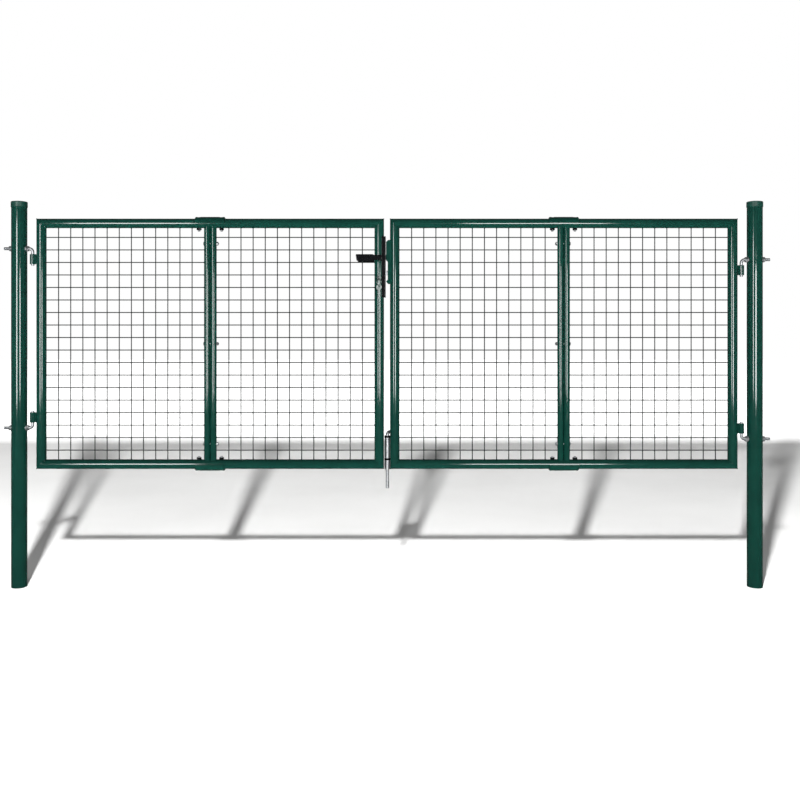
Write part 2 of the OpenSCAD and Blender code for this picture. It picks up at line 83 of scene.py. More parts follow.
print("camera")
cameraSpot = {
    "x": 52, "z": 1065,  # mm, a little right of the middle, at chest height
    "distance": 3500,
    "lens": 39.4,  # mm on a 36 mm sensor
    "rise": -0.1,  # the lens is shifted so that the uprights stay parallel
}
cameraData = bpy.data.cameras.new("camera")
cameraData.lens = cameraSpot["lens"]
cameraData.sensor_width = 36
cameraData.shift_y = cameraSpot["rise"]
camera = addObject("camera", cameraData)
camera.location = (cameraSpot["x"] * mm, -cameraSpot["distance"] * mm, cameraSpot["z"] * mm)
camera.rotation_euler = (math.radians(90), 0, 0)
bpy.context.scene.camera = camera


def linear(hexColour):
    parts = [int(hexColour[i:i + 2], 16) / 255 for i in (1, 3, 5)]
    return [p / 12.92 if p <= 0.04045 else ((p + 0.055) / 1.055) ** 2.4 for p in parts] + [1]


# adds one node, sets its sockets and properties, and links what it is given
def addNode(tree, kind, inputs=None, **settings):
    node = tree.nodes.new(kind)
    for key, value in settings.items():
        setattr(node, key, value)
    for key, value in (inputs or {}).items():
        if isinstance(value, bpy.types.NodeSocket):
            tree.links.new(value, node.inputs[key])
        else:
            node.inputs[key].default_value = value
    return node


# a noise scale, in cycles per metre, from the real width of its blotches
def grain(width):
    return 1 / (width * mm)


def startMaterial(name):
    material = bpy.data.materials.new(name)
    material.use_nodes = True
    tree = material.node_tree
    spot = addNode(tree, "ShaderNodeTexCoord").outputs["Object"]
    return material, tree, tree.nodes["Principled BSDF"], spot


# two tones mixed by a noise, for the shader's base colour
def mixTones(tree, spot, width, first, second):
    noise = addNode(tree, "ShaderNodeTexNoise", {"Vector": spot, "Scale": grain(width), "Detail": 3})
    ramp = addNode(tree, "ShaderNodeValToRGB", {"Fac": noise.outputs["Fac"]})
    for stop, position, colour in zip(ramp.color_ramp.elements, (0.35, 0.65), (first, second)):
        stop.position = position
        stop.color = linear(colour)
    return ramp.outputs["Color"]


def varyRoughness(tree, spot, width, smooth, rough):
    noise = addNode(tree, "ShaderNodeTexNoise", {"Vector": spot, "Scale": grain(width), "Detail": 2})
    spread = addNode(tree, "ShaderNodeMapRange", {
        "Value": noise.outputs["Fac"], "From Min": 0.3, "From Max": 0.7,
        "To Min": smooth, "To Max": rough,
    })
    return spread.outputs["Result"]


# depth is how far the surface rises, in mm
def addBump(tree, spot, width, depth, detail=2, normal=None):
    noise = addNode(tree, "ShaderNodeTexNoise", {"Vector": spot, "Scale": grain(width), "Detail": detail})
    inputs = {"Height": noise.outputs["Fac"], "Distance": depth * mm, "Strength": 1}
    if normal is not None:
        inputs["Normal"] = normal
    return addNode(tree, "ShaderNodeBump", inputs).outputs["Normal"]


# each of tones, shine, bump and peel starts with the width of its blotches in mm; a metal has no ior
def makeFinish(name, tones, shine, bump, ior=None, peel=None, stretch=None):
    material, tree, shader, spot = startMaterial(name)
    fine = spot
    if stretch:
        fine = addNode(tree, "ShaderNodeMapping", {"Vector": spot, "Scale": stretch}).outputs["Vector"]
    coarse = addBump(tree, spot, *peel) if peel else None
    tree.links.new(mixTones(tree, spot, *tones), shader.inputs["Base Color"])
    tree.links.new(varyRoughness(tree, fine, *shine), shader.inputs["Roughness"])
    tree.links.new(addBump(tree, fine, *bump, normal=coarse), shader.inputs["Normal"])
    if ior:
        shader.inputs["IOR"].default_value = ior
    else:
        shader.inputs["Metallic"].default_value = 1
    return material


print("materials")
coatMake = {"bump": (1.5, 0.0008, 1), "peel": (6, 0.004), "ior": 1.5}

# polyester powder coat on steel tube: sprayed and baked, glossy, with a fine orange peel
green = makeFinish("green_powder_coat", (90, "#08342c", "#0b3930"), (25, 0.065, 0.115), **coatMake)

# the same coat on thin wire, matt, its colour painted far darker than the tubes' coat as painted shade, so
# that it looks nearly black
wireGreenShaded = makeFinish("green_wire_coat_painted_shade", (90, "#04120f", "#071a16"), (25, 0.43, 0.48), **coatMake)

# low-density polyethylene cap: moulded, softer in its shine than the coat
capGreen = makeFinish("moulded_green_cap", (30, "#0b3a31", "#0e443a"), (8, 0.34, 0.46), (1.2, 0.01), 1.51)

# bright zinc plate on steel: a little cloudy, with a faint cool tint
zinc = makeFinish("bright_zinc_plate", (6, "#c2c6ca", "#dfe1e2"), (3, 0.44, 0.56), (0.8, 0.004))

# nickel plate on brass: the lock cylinder and its keys, finely ground along one way
nickel = makeFinish("ground_nickel_plate", (5, "#7d8583", "#939b98"), (0.5, 0.28, 0.42), (0.4, 0.004),
                    stretch=(1, 1, 0.05))

# black stoved enamel on the lock's steel, the cast levers and the clamp nuts: very smooth
black = makeFinish("black_stoved_enamel", (20, "#050508", "#0a0a0e"), (4, 0.12, 0.17), (0.9, 0.003), 1.5)


# turns an outline of (radius, height) points, in mm, about Z; an open outline ends on the axis
def lathe(outline, segments, isOpen=False):
    bm = bmesh.new()
    verts = [bm.verts.new((r * mm, 0, z * mm)) for r, z in outline]
    pairs = list(zip(verts, verts[1:]))
    if not isOpen:
        pairs.append((verts[-1], verts[0]))
    edges = [bm.edges.new(pair) for pair in pairs]
    bmesh.ops.spin(
        bm, geom=verts + edges, cent=(0, 0, 0), axis=(0, 0, 1),
        angle=2 * math.pi, steps=segments, use_merge=True,
    )
    bmesh.ops.remove_doubles(bm, verts=bm.verts, dist=1e-6)
    bmesh.ops.recalc_face_normals(bm, faces=bm.faces)
    return bm


# the outline of a bar or tube with its two outer corners cut off
def chamfered(inner, outer, bottom, top, edge):
    return [
        (inner, bottom), (outer - edge, bottom), (outer, bottom + edge),
        (outer, top - edge), (outer - edge, top), (inner, top),
    ]


def block(width, depth, height):
    bm = bmesh.new()
    bmesh.ops.create_cube(bm, size=1)
    bmesh.ops.scale(bm, vec=(width * mm, depth * mm, height * mm), verts=bm.verts)
    return bm


# rounds every edge whose faces meet at more than the angle
def bevelSharp(bm, width, angle=40, segments=2):
    sharp = [
        e for e in bm.edges
        if len(e.link_faces) == 2 and e.calc_face_angle(0) > math.radians(angle)
    ]
    bmesh.ops.bevel(
        bm, geom=sharp, offset=width * mm, offset_type="OFFSET", segments=segments,
        profile=0.5, affect="EDGES", clamp_overlap=True, material=-1,
    )


# copies one bmesh into another through a matrix
def put(target, source, matrix=Matrix.Identity(4)):
    mesh = bpy.data.meshes.new("copy")
    source.to_mesh(mesh)
    mesh.transform(matrix)
    if matrix.determinant() < 0:
        mesh.flip_normals()
    target.from_mesh(mesh)
    bpy.data.meshes.remove(mesh)


# moves or mirrors a bmesh and keeps its faces outwards
def place(bm, matrix):
    bm.transform(matrix)
    if matrix.determinant() < 0:
        bmesh.ops.reverse_faces(bm, faces=bm.faces)
    return bm


def at(x, y, z):
    return Matrix.Translation((x, y, z))


def turn(degrees, axis):
    return Matrix.Rotation(math.radians(degrees), 4, axis)


asMade = Matrix.Identity(4)
mirrorX = Matrix.Scale(-1, 4, (1, 0, 0))
mirrorZ = Matrix.Scale(-1, 4, (0, 0, 1))
alongX = turn(90, "Y")  # what was made along Z points along +X
alongFront = turn(90, "X")  # what was made along Z points along -Y


# makes the object, gives it its finish and lets it ride in place of its CAD nodes
def finishPiece(name, bm, material, nodes, body=None, smoothAngle=32):
    mesh = bpy.data.meshes.new(name)
    bm.to_mesh(mesh)
    bm.free()
    mesh.materials.append(material)
    mesh.shade_smooth()
    mesh.set_sharp_from_angle(angle=math.radians(smoothAngle))
    piece = addObject(name, mesh)
    # long faces stay evenly shaded beside their small bevels
    piece.modifiers.new("even_shading", "WEIGHTED_NORMAL").keep_sharp = True
    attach(piece, body or bodyOf[nodes[0]])
    if nodes:
        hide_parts(*nodes)
    return piece


# cuts a closed tube with a plane and closes it again
def cutTube(bm, point, normal):
    made = bmesh.ops.bisect_plane(
        bm, geom=bm.verts[:] + bm.edges[:] + bm.faces[:], dist=1e-7,
        plane_co=point, plane_no=normal, clear_outer=True,
    )
    rim = [g for g in made["geom_cut"] if isinstance(g, bmesh.types.BMEdge)]
    bmesh.ops.bridge_loops(bm, edges=rim)
    bmesh.ops.recalc_face_normals(bm, faces=bm.faces)


# a screw thread cut into the rings of a bar that stands along Z
def cutThread(bm, radius, bottom, top, pitch, depth):
    for vert in bm.verts:
        z = vert.co.z / mm
        r = math.hypot(vert.co.x, vert.co.y) / mm
        if bottom < z < top and abs(r - radius) < 0.01:
            phase = 2 * math.pi * z / pitch - math.atan2(vert.co.y, vert.co.x)
            share = 1 - depth / radius * (0.5 - 0.5 * math.cos(phase))
            vert.co.x *= share
            vert.co.y *= share


# heights of the rings that a thread needs, four to a turn
def threadRings(bottom, top, pitch):
    count = round((top - bottom) / pitch * 4)
    return [bottom + (top - bottom) * i / count for i in range(1, count)]


# a round bar along a path of points in mm; radii are shares of its radius
def sweep(points, radius, isClosed=False, roundness=2, radii=None):
    curve = bpy.data.curves.new("path", "CURVE")
    curve.dimensions = "3D"
    curve.bevel_depth = radius * mm
    curve.bevel_resolution = roundness
    curve.use_fill_caps = not isClosed
    spline = curve.splines.new("POLY")
    spline.points.add(len(points) - 1)
    for i, point in enumerate(points):
        spline.points[i].co = (point[0] * mm, point[1] * mm, point[2] * mm, 1)
        spline.points[i].radius = radii[i] if radii else 1
    spline.use_cyclic_u = isClosed
    holder = bpy.data.objects.new("path", curve)
    mesh = bpy.data.meshes.new_from_object(holder)
    bm = bmesh.new()
    bm.from_mesh(mesh)
    bpy.data.objects.remove(holder)
    bpy.data.curves.remove(curve)
    bpy.data.meshes.remove(mesh)
    bmesh.ops.remove_doubles(bm, verts=bm.verts, dist=1e-6)
    bmesh.ops.recalc_face_normals(bm, faces=bm.faces)
    return bm


# a weld: a low bead whose ripples follow each other closely
def weldBead(points, radius, isClosed=False):
    radii = [1 + 0.16 * (-1) ** i for i in range(len(points))]
    return sweep(points, radius, isClosed, 1, radii)


# a flat outline of points in mm, as thick as depth about its own plane
def prism(points, depth):
    bm = bmesh.new()
    face = bm.faces.new([bm.verts.new((x * mm, y * mm, -depth * mm / 2)) for x, y in points])
    grown = bmesh.ops.extrude_face_region(bm, geom=[face])["geom"]
    ends = [g for g in grown if isinstance(g, bmesh.types.BMVert)]
    bmesh.ops.translate(bm, verts=ends, vec=(0, 0, depth * mm))
    bmesh.ops.recalc_face_normals(bm, faces=bm.faces)
    return bm


# points of an arc in mm
def arc(x, y, radius, start, end, steps):
    return [
        (x + radius * math.cos(math.radians(start + (end - start) * i / steps)),
         y + radius * math.sin(math.radians(start + (end - start) * i / steps)))
        for i in range(steps + 1)
    ]


# cuts one closed shape out of another
def carve(bm, *cutters):
    for cutter in cutters:
        things = []
        for source in (bm, cutter):
            mesh = bpy.data.meshes.new("carve")
            source.to_mesh(mesh)
            things.append(addObject("carve", mesh))
        cut = things[0].modifiers.new("cut", "BOOLEAN")
        cut.operation = "DIFFERENCE"
        cut.solver = "EXACT"
        cut.object = things[1]
        ready = things[0].evaluated_get(bpy.context.evaluated_depsgraph_get())
        bm.clear()
        bm.from_mesh(ready.to_mesh())
        ready.to_mesh_clear()
        cutter.free()
        for thing in things:
            mesh = thing.data
            bpy.data.objects.remove(thing)
            bpy.data.meshes.remove(mesh)
    bmesh.ops.remove_doubles(bm, verts=bm.verts, dist=1e-6)
    return bm


# a low domed head below 0
def domedHead(radius, height):
    dome = [
        (radius * math.sin(math.radians(15 * i)), -height * math.cos(math.radians(15 * i)))
        for i in range(7)
    ]
    return dome + [(radius - 0.4, 0.2)]


# a cone that sinks into a plate, its flat face at -height
def sunkHead(radius, height, shank):
    return [(0, -height), (radius - 0.4, -height), (radius, -height + 0.3), (shank + 0.2, -0.2)]


# a bolt along Z, with its thread at the far end
def makeBolt(head, radius, length, threaded, pitch, segments=24):
    start = length - threaded
    point = 0.9
    outline = head + [(radius, 0.2), (radius, start)]
    outline += [(radius, z) for z in threadRings(start, length - point, pitch)]
    outline += [(radius, length - point), (radius - point, length), (0, length)]
    bm = lathe(outline, segments, isOpen=True)
    cutThread(bm, radius, start + 0.1, length - 1, pitch, pitch * 0.5)
    return bm


def hexNut(flats, height, bore):
    half = flats / 2
    inner = half * 0.97
    bm = lathe([
        (bore / 2, 0), (inner, 0), (flats, height * 0.2), (flats, height * 0.8),
        (inner, height), (bore / 2, height),
    ], 36)
    for vert in bm.verts:
        r = math.hypot(vert.co.x, vert.co.y) / mm
        if r > half:  # drawn in to the six flats
            angle = math.degrees(math.atan2(vert.co.y, vert.co.x)) % 60 - 30
            side = half / math.cos(math.radians(angle))
            fall = 0.15 + (side - inner) * 0.577  # the chamfer's slope is 30 degrees
            vert.co.x *= side / r
            vert.co.y *= side / r
            vert.co.z = (fall if vert.co.z < height * mm / 2 else height - fall) * mm
    return bm


print("posts")
postMake = {"wall": 2, "rim": 0.4, "segments": 72}


def makePost(side):
    node = side + "_post"
    spot = middle(node)
    radius = size(node).x / mm / 2
    height = size(node).z / mm
    inner = radius - postMake["wall"]
    bm = lathe([(inner, 0), (radius, 0), (radius, height), (inner, height)], postMake["segments"])
    bevelSharp(bm, postMake["rim"])
    bm.transform(at(spot.x, 0, 0))
    finishPiece(side + "_post_tube", bm, green, [node])


capMake = {
    "wall": 1.6, "lip": 0.5, "draft": 0.3, "seat": 2, "corner": 4, "cornerSteps": 6, "topRise": 2,
    "crown": ((0.6, 0.6), (0.3, 0.15)), "segments": 72,
}


def makeCap(side):
    node = side + "_post_cap"
    spot = middle(node)
    outer = size(node).x / mm / 2
    inner = outer - capMake["wall"]
    height = size(node).z / mm
    bottom = low(node).z
    postTop = high(side + "_post").z / mm - bottom / mm
    corner = capMake["corner"]
    shoulder = height - capMake["topRise"] - corner
    lip = capMake["lip"]
    draft = capMake["draft"]
    outline = [(0, postTop), (inner, postTop), (inner, lip), (inner + draft, 0)]
    outline += [(outer - lip, 0), (outer, lip), (outer - draft, postTop - capMake["seat"])]
    outline += arc(outer - corner, shoulder, corner, 0, 90, capMake["cornerSteps"])
    outline += [(outer * share, height - drop) for share, drop in capMake["crown"]] + [(0, height)]
    bm = lathe(outline, capMake["segments"], isOpen=True)
    bm.transform(at(spot.x, 0, bottom))
    finishPiece(side + "_post_cap_moulding", bm, capGreen, [node])


for side in ("left", "right"):
    makePost(side)
    makeCap(side)


print("hinges")
hookMake = {
    "bend": 14, "segments": 32, "bendSteps": 10,
    "thread": 1.75, "threadDepth": 0.9, "threaded": 38, "point": 1,
}
nutMake = {
    "flats": 19.2, "height": 8, "bore": 12, "washer": 1.5, "washerBore": 6.4, "washerMid": 9,
    "washerRadius": 12, "washerEdge": 0.25, "washerSegments": 36,
}


# a rod that stands along Z and is bent over to +X; tail is what is left after the bend
def bentRod(outline, segments, bend, bendSteps, tail, point):
    bm = lathe(outline, segments, isOpen=True)
    radius, top = outline[-1]
    spun = bmesh.ops.spin(
        bm, geom=[e for e in bm.edges if e.is_boundary], cent=(bend * mm, 0, top * mm),
        axis=(0, 1, 0), angle=math.radians(90), steps=bendSteps,
    )["geom_last"]
    rim = [g for g in spun if isinstance(g, bmesh.types.BMEdge)]
    steps = [(tail - point, 1), (point * 0.7, 1 - point * 0.3 / radius), (point * 0.3, 1 - point / radius)]
    for reach, scale in steps:
        grown = bmesh.ops.extrude_edge_only(bm, edges=rim)["geom"]
        ends = [g for g in grown if isinstance(g, bmesh.types.BMVert)]
        rim = [g for g in grown if isinstance(g, bmesh.types.BMEdge) and g.is_boundary]
        bmesh.ops.translate(bm, verts=ends, vec=(reach * mm, 0, 0))
        bmesh.ops.scale(bm, verts=ends, vec=(1, scale, scale), space=at(0, 0, -(top + bend) * mm))
    bmesh.ops.contextual_create(bm, geom=rim)
    bmesh.ops.remove_doubles(bm, verts=bm.verts, dist=1e-6)
    bmesh.ops.recalc_face_normals(bm, faces=bm.faces)
    return bm


# a shank through the post, threaded at its outer end, with the pin that the barrel turns on
def makeHook(which, side):
    node = which + "_" + side + "_hook"
    radius = size(node).y / mm / 2
    reach = size(node).x / mm - radius  # from the outer end to the pin's middle
    drop = size(node).z / mm - radius  # from the shank's middle to the pin's end
    point = hookMake["point"]
    threaded = hookMake["threaded"]
    outline = [(0, 0), (radius - point, 0), (radius, point)]
    outline += [(radius, z) for z in threadRings(point, threaded, hookMake["thread"])]
    outline += [(radius, threaded), (radius, reach - hookMake["bend"])]
    bm = bentRod(
        outline, hookMake["segments"], hookMake["bend"], hookMake["bendSteps"],
        drop - hookMake["bend"], point,
    )
    cutThread(bm, radius, point + 0.1, threaded - 0.1, hookMake["thread"], hookMake["threadDepth"])
    isUpper = which == "upper"
    shankZ = high(node).z - radius * mm if isUpper else low(node).z + radius * mm
    outerX = low(node).x if side == "left" else high(node).x
    place(bm, at(outerX, 0, shankZ) @ (asMade if side == "left" else mirrorX)
          @ (asMade if isUpper else mirrorZ) @ alongX)
    finishPiece(node + "_rod", bm, zinc, [node])
    return shankZ


# a round washer pressed to the curve of the post
def curvedWasher(radius):
    radii = (nutMake["washerBore"], nutMake["washerMid"], nutMake["washerRadius"])
    bm = lathe([(r, 0) for r in radii] + [(r, nutMake["washer"]) for r in reversed(radii)],
               nutMake["washerSegments"])
    bevelSharp(bm, nutMake["washerEdge"], segments=1)
    bm.transform(alongX)
    for vert in bm.verts:
        vert.co.x += math.sqrt(radius ** 2 - vert.co.y ** 2) - radius
    return bm


nuts = bmesh.new()
washers = bmesh.new()
for side in ("left", "right"):
    post = middle(side + "_post")
    postRadius = size(side + "_post").x / 2
    nut = hexNut(nutMake["flats"], nutMake["height"], nutMake["bore"])
    washer = curvedWasher(postRadius)
    for which in ("upper", "lower"):
        shankZ = makeHook(which, side)
        for face in (asMade, mirrorX):
            spot = at(post.x, 0, shankZ) @ face
            put(washers, washer, spot @ at(postRadius, 0, 0))
            tilt = turn(random.Random(which + side).uniform(0, 60), "X")
            put(nuts, nut, spot @ at(postRadius + nutMake["washer"] * mm, 0, 0) @ tilt @ alongX)
finishPiece("hinge_nuts_hex", nuts, zinc, ["hinge_nuts"])
finishPiece("hinge_washers_pressed", washers, zinc, ["hinge_washers"])


# the leaves: x is measured from a leaf's hinge edge and z from its bottom, in mm
print("leaf frames")
leafMake = {"wall": 1.5, "segments": 48, "bead": 1.5, "beadSunk": 0.35, "beadSteps": 120}
tubeAcross = size("left_hinge_stile").x / mm
tubeRadius = tubeAcross / 2
leafHeight = size("left_hinge_stile").z / mm
leafWidth = (high("left_latch_stile").x - low("left_hinge_stile").x) / mm
halfWidth = leafWidth / 2
leafBottom = low("left_hinge_stile").z
midAcross = size("left_outer_mid_stile").x / mm


# from a leaf's own measures to the whole gate
def leafPlace(side):
    if side == "left":
        return at(low("left_hinge_stile").x, 0, leafBottom)
    return at(high("right_hinge_stile").x, 0, leafBottom) @ mirrorX


innerHalf = at(leafWidth * mm, 0, 0) @ mirrorX
topSide = at(0, 0, leafHeight * mm) @ mirrorZ
halves = (("outer", asMade), ("inner", innerHalf))
levels = (("bottom", asMade), ("top", topSide))


def plainTube(across, start, end):
    r = across / 2
    inner = r - leafMake["wall"]
    return lathe([(inner, start), (r, start), (r, end), (inner, end)], leafMake["segments"])


# the weld that runs round a mitred corner, at the leaf's bottom corner
def cornerWeld():
    steps = leafMake["beadSteps"]
    depth = tubeRadius - leafMake["bead"] * leafMake["beadSunk"]
    points = []
    for i in range(steps):
        a = 2 * math.pi * i / steps
        across = tubeRadius + depth * math.cos(a)
        points.append((across, depth * math.sin(a), across))
    return weldBead(points, leafMake["bead"], isClosed=True)


def makeStile():
    bm = plainTube(tubeAcross, 0, leafHeight)
    place(bm, at(tubeRadius * mm, 0, 0))
    cutTube(bm, (0, 0, 0), (1, 0, -1))
    cutTube(bm, (0, 0, leafHeight * mm), (1, 0, 1))
    weld = cornerWeld()
    put(bm, weld)
    put(bm, weld, topSide)
    return bm


def makeRail():
    bm = plainTube(tubeAcross, 0, halfWidth)
    place(bm, at(0, 0, tubeRadius * mm) @ alongX)
    cutTube(bm, (0, 0, 0), (-1, 0, 1))
    return bm


# its ends are shaped to sit on the rails
def makeMidStile():
    bm = plainTube(midAcross, tubeRadius, leafHeight - tubeRadius)
    for vert in bm.verts:
        rise = math.sqrt((tubeRadius * mm) ** 2 - vert.co.y ** 2)
        vert.co.z += rise if vert.co.z < leafHeight * mm / 2 else -rise
    return place(bm, at((halfWidth - midAcross / 2) * mm, 0, 0))


lockMake = {
    "depth": 14, "innerWidth": 22, "wall": 1.5, "endWall": 14, "edge": 0.8, "plateEdge": 0.5, "slotRoom": 0.3,
    "screwAcross": 8, "screwFromEnd": 8, "screwFit": 0.1, "screwHead": 2, "screwEdge": 0.3,
    "screwShank": 2, "screwLength": 8, "socketAcross": 4, "socketFloor": 0.4,
    "latchNose": 4, "latchEdge": 0.5, "deadEdge": 1,
    "spindle": 8, "spindleEdge": 0.4, "hub": 6, "hubHalf": 9.2, "hubEdge": 0.5,
}


def boxBetween(lowCorner, highCorner):
    lowCorner = Vector(lowCorner)
    highCorner = Vector(highCorner)
    bm = bmesh.new()
    bmesh.ops.create_cube(bm, size=1)
    bmesh.ops.scale(bm, vec=highCorner - lowCorner, verts=bm.verts)
    bmesh.ops.translate(bm, vec=(lowCorner + highCorner) / 2, verts=bm.verts)
    return bm


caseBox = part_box("lock_case")
frontX = low("lock_faceplate").x
caseBackX = frontX - lockMake["depth"] * mm


for side in ("left", "right"):
    leaf = leafPlace(side)
    for node, turned in ((side + "_hinge_stile", asMade), (side + "_latch_stile", innerHalf)):
        bm = place(makeStile(), leaf @ turned)
        if node == "left_latch_stile":  # cut away for the lock's front
            wide = tubeAcross * mm
            carve(bm, boxBetween((caseBackX, -wide, caseBox[0].z), (wide, wide, caseBox[1].z)))
        finishPiece(node + "_tube", bm, green, [node])
    for half, turned in halves:
        for level, flipped in levels:
            node = side + "_" + half + "_" + level + "_rail"
            finishPiece(node + "_tube", place(makeRail(), leaf @ turned @ flipped), green, [node])
        node = side + "_" + half + "_mid_stile"
        finishPiece(node + "_tube", place(makeMidStile(), leaf @ turned), green, [node])


# welded mesh: upright wires behind, level wires in front, fused where they cross
print("mesh panels")
wireMake = {
    "across": 4, "offset": 1.8, "uprights": 12, "levels": 18, "pitch": 50, "segments": 10,
    "flare": 2.9, "flareLength": 2.5, "fuse": 2.7, "fuseFlat": 0.62,
}
clearWidth = halfWidth - tubeAcross - midAcross
clearHeight = leafHeight - 2 * tubeAcross


# a wire along Z that spreads a little where it is welded to the frame
def makeWire(length):
    r = wireMake["across"] / 2
    flare = [(0, 0), (wireMake["flare"], 0), (r + 0.3, 1), (r, wireMake["flareLength"])]
    farFlare = [(spread, length - z) for spread, z in reversed(flare)]
    return lathe(flare + farFlare, wireMake["segments"], isOpen=True)


def makeMesh():
    bm = bmesh.new()
    off = wireMake["offset"] * mm
    gap = clearWidth / (wireMake["uprights"] + 1)
    first = tubeAcross + (clearHeight - (wireMake["levels"] - 1) * wireMake["pitch"]) / 2
    upright = makeWire(clearHeight)
    level = makeWire(clearWidth)
    level.transform(alongX)
    fuse = bmesh.new()
    bmesh.ops.create_icosphere(fuse, subdivisions=1, radius=wireMake["fuse"] * mm)
    bmesh.ops.scale(fuse, vec=(1, wireMake["fuseFlat"], 1), verts=fuse.verts)
    for i in range(wireMake["uprights"]):
        put(bm, upright, at((tubeAcross + (i + 1) * gap) * mm, off, tubeAcross * mm))
    for j in range(wireMake["levels"]):
        z = (first + j * wireMake["pitch"]) * mm
        put(bm, level, at(tubeAcross * mm, -off, z))
        for i in range(wireMake["uprights"]):
            put(bm, fuse, at((tubeAcross + (i + 1) * gap) * mm, 0, z))
    return bm


for side in ("left", "right"):
    for half, turned in halves:
        node = side + "_" + half + "_mesh"
        bm = place(makeMesh(), leafPlace(side) @ turned)
        # the wires take the darker coat, whose colour holds painted shade
        finishPiece(node + "_wires", bm, wireGreenShaded, [node], smoothAngle=60)


print("hinge barrels")
barrelMake = {
    "height": 40, "bore": 6.1, "rim": 0.8, "web": 8, "webEdge": 0.8, "overlap": 1,
    "bead": 2, "beadStep": 0.9, "beadEnd": 2, "segments": 40,
}


# two short tubes on the hooks' pins, each on a web that is welded to the stile
def makeBarrels(side):
    node = side + "_hinge_barrels"
    height = barrelMake["height"]
    outer = size(node).y / mm / 2
    rim = barrelMake["rim"]
    bore = barrelMake["bore"]
    ring = lathe([
        (bore, rim), (bore + rim, 0), (outer - rim, 0), (outer, rim),
        (outer, height - rim), (outer - rim, height), (bore + rim, height), (bore, height - rim),
    ], barrelMake["segments"])
    hook = "upper_left_hook"
    pinX = -high(hook).x / mm + size(hook).y / mm / 2
    stileX = -low("left_hinge_stile").x / mm
    webOuter = pinX - outer + barrelMake["overlap"]
    webInner = stileX - barrelMake["overlap"]
    web = block(webOuter - webInner, barrelMake["web"], height)
    bevelSharp(web, barrelMake["webEdge"])
    barrels = bmesh.new()
    for bottom in (low(node).z, high(node).z - height * mm):
        put(barrels, ring, at(-pinX * mm, 0, bottom))
        put(barrels, web, at(-(webOuter + webInner) / 2 * mm, 0, bottom + height * mm / 2))
        for face in (-1, 1):
            beads = int((height - 2 * barrelMake["beadEnd"]) / barrelMake["beadStep"])
            for x in (stileX, webOuter):
                weld = weldBead([
                    (-x, face * barrelMake["web"] / 2, barrelMake["beadEnd"] + i * barrelMake["beadStep"])
                    for i in range(beads)
                ], barrelMake["bead"])
                put(barrels, weld, at(0, 0, bottom))
    if side == "right":
        place(barrels, mirrorX)
    finishPiece(node + "_welded", barrels, green, [node])


for side in ("left", "right"):
    makeBarrels(side)


print("clamp sleeves and bolts")
sleeveMake = {
    "gap": 0.1, "chamfer": 3, "round": 0.6, "segments": 56, "boltRoom": 0.2, "holeSegments": 32,
}
clampMake = {
    "apart": 45, "radius": 5, "pitch": 1.5, "head": 10, "headHeight": 5, "threaded": 15, "end": 5,
    "flats": 17, "nutHeight": 8,
}
stileBoltMake = {
    "radius": 4, "pitch": 1.25, "head": 8, "headHeight": 3, "threaded": 12, "end": 2.5,
    "flats": 13, "nutHeight": 6.5, "heights": (100, leafHeight / 2, leafHeight - 100),
}
sleeveLength = size("left_top_sleeve").x / mm
sleeveRadius = size("left_top_sleeve").y / mm / 2


# half a ring on the outer side of the rail, with sunk holes for its bolts
def makeSleeve():
    inner = tubeRadius + sleeveMake["gap"]
    bm = lathe(chamfered(inner, sleeveRadius, 0, sleeveLength, sleeveMake["chamfer"]), sleeveMake["segments"])
    place(bm, at((halfWidth - sleeveLength / 2) * mm, 0, tubeRadius * mm) @ alongX)
    cutTube(bm, (0, 0, tubeRadius * mm), (0, 0, 1))
    bevelSharp(bm, sleeveMake["round"], angle=30)
    wide = clampMake["head"] + sleeveMake["boltRoom"]
    narrow = clampMake["radius"] + sleeveMake["boltRoom"]
    below = -sleeveRadius  # well clear of the sleeve at either end
    above = clampMake["radius"]
    for off in (-clampMake["apart"], clampMake["apart"]):
        hole = lathe([
            (0, below), (wide, below), (wide, -clampMake["headHeight"]),
            (narrow, 0), (narrow, above), (0, above),
        ], sleeveMake["holeSegments"], isOpen=True)
        carve(bm, place(hole, at((halfWidth + off) * mm, 0, 0)))
    return bm


clamp = clampMake
stile = stileBoltMake
for side in ("left", "right"):
    leaf = leafPlace(side)
    for level, flipped in levels:
        node = side + "_" + level + "_sleeve"
        finishPiece(node + "_clamp", place(makeSleeve(), leaf @ flipped), green, [node])
    clampBolt = makeBolt(sunkHead(clamp["head"], clamp["headHeight"], clamp["radius"]), clamp["radius"],
                         tubeAcross + clamp["nutHeight"] + clamp["end"], clamp["threaded"], clamp["pitch"])
    clampNut = hexNut(clamp["flats"], clamp["nutHeight"], 2 * clamp["radius"])
    stileBolt = makeBolt(domedHead(stile["head"], stile["headHeight"]), stile["radius"],
                         2 * midAcross + stile["nutHeight"] + stile["end"], stile["threaded"], stile["pitch"])
    stileNut = hexNut(stile["flats"], stile["nutHeight"], 2 * stile["radius"])
    leafBolts = bmesh.new()
    clampNuts = bmesh.new()
    stileNuts = bmesh.new()
    spin = random.Random(side)
    for flipped in (asMade, topSide):
        for off in (-clamp["apart"], clamp["apart"]):
            spot = leaf @ flipped @ at((halfWidth + off) * mm, 0, 0)
            put(leafBolts, clampBolt, spot)
            put(clampNuts, clampNut, spot @ at(0, 0, tubeAcross * mm) @ turn(spin.uniform(0, 60), "Z"))
    for z in stile["heights"]:
        spot = leaf @ at((halfWidth - midAcross) * mm, 0, z * mm) @ alongX
        put(leafBolts, stileBolt, spot)
        put(stileNuts, stileNut, spot @ at(0, 0, 2 * midAcross * mm) @ turn(spin.uniform(0, 60), "Z"))
    finishPiece(side + "_leaf_bolts_turned", leafBolts, zinc, [side + "_leaf_bolts"])
    finishPiece(side + "_stile_nuts_hex", stileNuts, zinc, [side + "_leaf_nuts"])
    finishPiece(side + "_clamp_nuts_hex", clampNuts, black, [], body=side + "_leaf")


